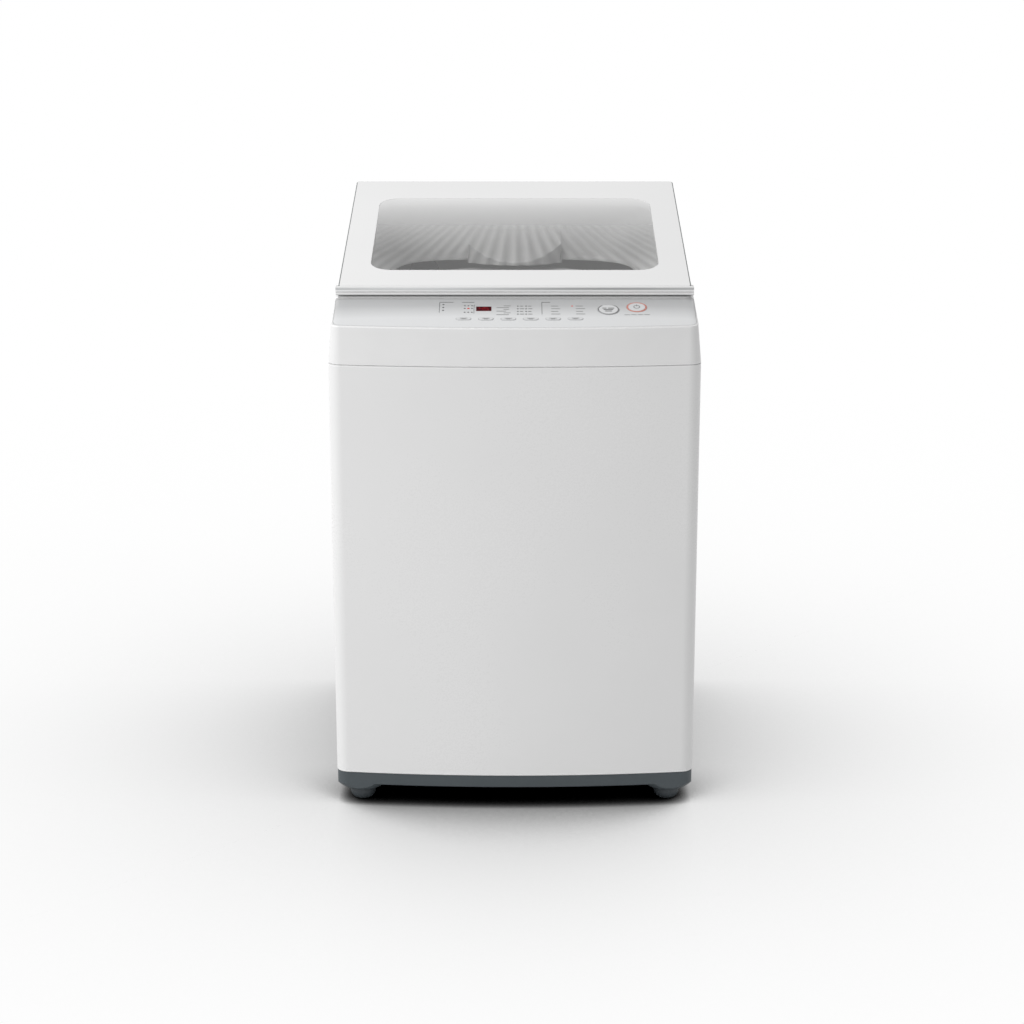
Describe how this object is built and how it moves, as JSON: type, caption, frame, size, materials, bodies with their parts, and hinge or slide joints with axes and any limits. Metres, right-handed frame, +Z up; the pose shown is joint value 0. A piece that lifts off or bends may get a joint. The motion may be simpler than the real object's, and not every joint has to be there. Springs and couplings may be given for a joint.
{
  "type": "top load washing machine",
  "caption": "Upright top load washing machine: bowed white cabinet, sloping glass lid, silver key panel, hung tub with spinning drum and pulsator, levelling feet.",
  "frame": {"origin": "on the floor under the middle of the machine", "axes": "+Z up, the front faces -Y, +X to the right of someone who faces the front"},
  "size_m": [0.54, 0.5749, 0.8703],
  "materials": {
    "white_steel": "gloss enamel",
    "grey_steel": "zinc coat",
    "bright_steel": "bright steel",
    "stainless": "brushed stainless",
    "white_plastic": "gloss moulding",
    "inner_plastic": "satin moulding",
    "silver_panel": "silver paint",
    "silver_trim": "silver plating",
    "key_silver": "silver paint",
    "key_red": "translucent",
    "display": "dark lens",
    "base_grey": "textured moulding",
    "foot_grey": "moulded",
    "window_glass": "clear with a printed border",
    "black_rubber": "soft",
    "dark_plastic": "moulded",
    "board_green": "lacquered board",
    "cast_alloy": "as cast",
    "motor_steel": "grey enamel"
  },
  "bodies": {
    "machine": {"cabinet": "white_steel", "rear_panel": "grey_steel", "panel_screws": "bright_steel", "corner_brackets": "grey_steel", "base_frame": "base_grey", "rear_feet": "foot_grey", "foot_nuts": "bright_steel", "top_frame": "white_plastic", "tub_funnel": "inner_plastic", "water_inlet_hood": "inner_plastic", "inlet_valve": "dark_plastic", "inlet_tube": "dark_plastic", "level_sensor": "dark_plastic", "hinge_brackets": "bright_steel", "hinge_pins": "bright_steel", "lid_switch": "dark_plastic", "control_panel": "silver_panel", "display_lens": "display", "power_ring": "key_red", "control_board": "board_green", "suspension_rods": "bright_steel", "suspension_springs": "bright_steel", "drain_hose": "black_rubber", "drain_outlet": "dark_plastic", "cord_gland": "black_rubber"},
    "tub": {"outer_tub": "inner_plastic", "tub_cover": "inner_plastic", "suspension_cups": "dark_plastic", "support_plate": "grey_steel", "clutch_housing": "cast_alloy", "tub_seal": "black_rubber", "motor": "motor_steel", "drive_belt": "black_rubber", "drain_valve": "dark_plastic"},
    "drum": {"wash_drum": "stainless", "drum_base": "inner_plastic", "balance_ring": "inner_plastic", "spin_tube": "bright_steel"},
    "filter": {"lint_filter": "inner_plastic"},
    "stirrer": {"pulsator": "inner_plastic", "pulsator_cap": "inner_plastic", "wash_shaft": "bright_steel"},
    "gear_input": {"drive_pulley": "cast_alloy"},
    "motor_rotor": {"motor_pulley": "cast_alloy"},
    "lid": {"lid_glass": "window_glass", "lid_frame": "white_plastic", "lid_handle": "white_plastic", "lid_handle_strip": "silver_trim", "lid_bumpers": "black_rubber"},
    "left_foot": {"front_left_foot": "foot_grey"},
    "right_foot": {"front_right_foot": "foot_grey"},
    "start_key": {"start_button": "key_silver"},
    "power_key": {"power_button": "key_silver"},
    "function_key_1": {"key_1": "key_silver"},
    "function_key_2": {"key_2": "key_silver"},
    "function_key_3": {"key_3": "key_silver"},
    "function_key_4": {"key_4": "key_silver"},
    "function_key_5": {"key_5": "key_silver"},
    "function_key_6": {"key_6": "key_silver"}
  },
  "joints": [
    {"name": "lid_hinge", "type": "hinge", "parent": "machine", "child": "lid", "pos_m": [0, 0.27491, 0.84965], "axis": [-1, 0, 0], "range_deg": [0, 105]},
    {"name": "tub_bounce", "type": "slide", "parent": "machine", "child": "tub", "axis": [0, 0, 1], "range_m": [-0.008, 0.008], "stiffness_N_per_m": 12000, "springref_m": 0.01872, "deforming": ["suspension_springs", "drain_hose"]},
    {"name": "drum_spin", "type": "hinge", "parent": "tub", "child": "drum", "pos_m": [0, 0.014, 0.262], "axis": [0, 0, 1], "continuous": true},
    {"name": "pulsator_spin", "type": "hinge", "parent": "tub", "child": "stirrer", "pos_m": [0, 0.014, 0.262], "axis": [0, 0, 1], "continuous": true},
    {"name": "drive_pulley_spin", "type": "hinge", "parent": "tub", "child": "gear_input", "pos_m": [0, 0.014, 0.101], "axis": [0, 0, 1], "continuous": true},
    {"name": "motor_spin", "type": "hinge", "parent": "tub", "child": "motor_rotor", "pos_m": [0, -0.141, 0.101], "axis": [0, 0, 1], "continuous": true},
    {"name": "lint_filter_pull", "type": "slide", "parent": "drum", "child": "filter", "axis": [-1, 0, 0], "range_m": [0, 0.03]},
    {"name": "left_foot_level", "type": "slide", "parent": "machine", "child": "left_foot", "axis": [0, 0, -1], "range_m": [0, 0.012]},
    {"name": "right_foot_level", "type": "slide", "parent": "machine", "child": "right_foot", "axis": [0, 0, -1], "range_m": [0, 0.012]},
    {"name": "key_1_press", "type": "slide", "parent": "machine", "child": "function_key_1", "axis": [0, 0.2617, -0.9652], "range_m": [0, 0.0012], "stiffness_N_per_m": 400, "springref_m": -0.002},
    {"name": "key_2_press", "type": "slide", "parent": "machine", "child": "function_key_2", "axis": [0, 0.2592, -0.9658], "range_m": [0, 0.0012], "stiffness_N_per_m": 400, "springref_m": -0.002},
    {"name": "key_3_press", "type": "slide", "parent": "machine", "child": "function_key_3", "axis": [0, 0.2581, -0.9661], "range_m": [0, 0.0012], "stiffness_N_per_m": 400, "springref_m": -0.002},
    {"name": "key_4_press", "type": "slide", "parent": "machine", "child": "function_key_4", "axis": [0, 0.2584, -0.966], "range_m": [0, 0.0012], "stiffness_N_per_m": 400, "springref_m": -0.002},
    {"name": "key_5_press", "type": "slide", "parent": "machine", "child": "function_key_5", "axis": [0, 0.2601, -0.9656], "range_m": [0, 0.0012], "stiffness_N_per_m": 400, "springref_m": -0.002},
    {"name": "key_6_press", "type": "slide", "parent": "machine", "child": "function_key_6", "axis": [0, 0.2632, -0.9647], "range_m": [0, 0.0012], "stiffness_N_per_m": 400, "springref_m": -0.002},
    {"name": "start_press", "type": "slide", "parent": "machine", "child": "start_key", "axis": [0, 0.2708, -0.9626], "range_m": [0, 0.0012], "stiffness_N_per_m": 400, "springref_m": -0.002},
    {"name": "power_press", "type": "slide", "parent": "machine", "child": "power_key", "axis": [0, 0.2805, -0.9599], "range_m": [0, 0.0012], "stiffness_N_per_m": 400, "springref_m": -0.002}
  ],
  "couplings": [
    {"joint": "drive_pulley_spin", "follows": "pulsator_spin", "ratio": 5},
    {"joint": "motor_spin", "follows": "pulsator_spin", "ratio": 16.111}
  ]
}
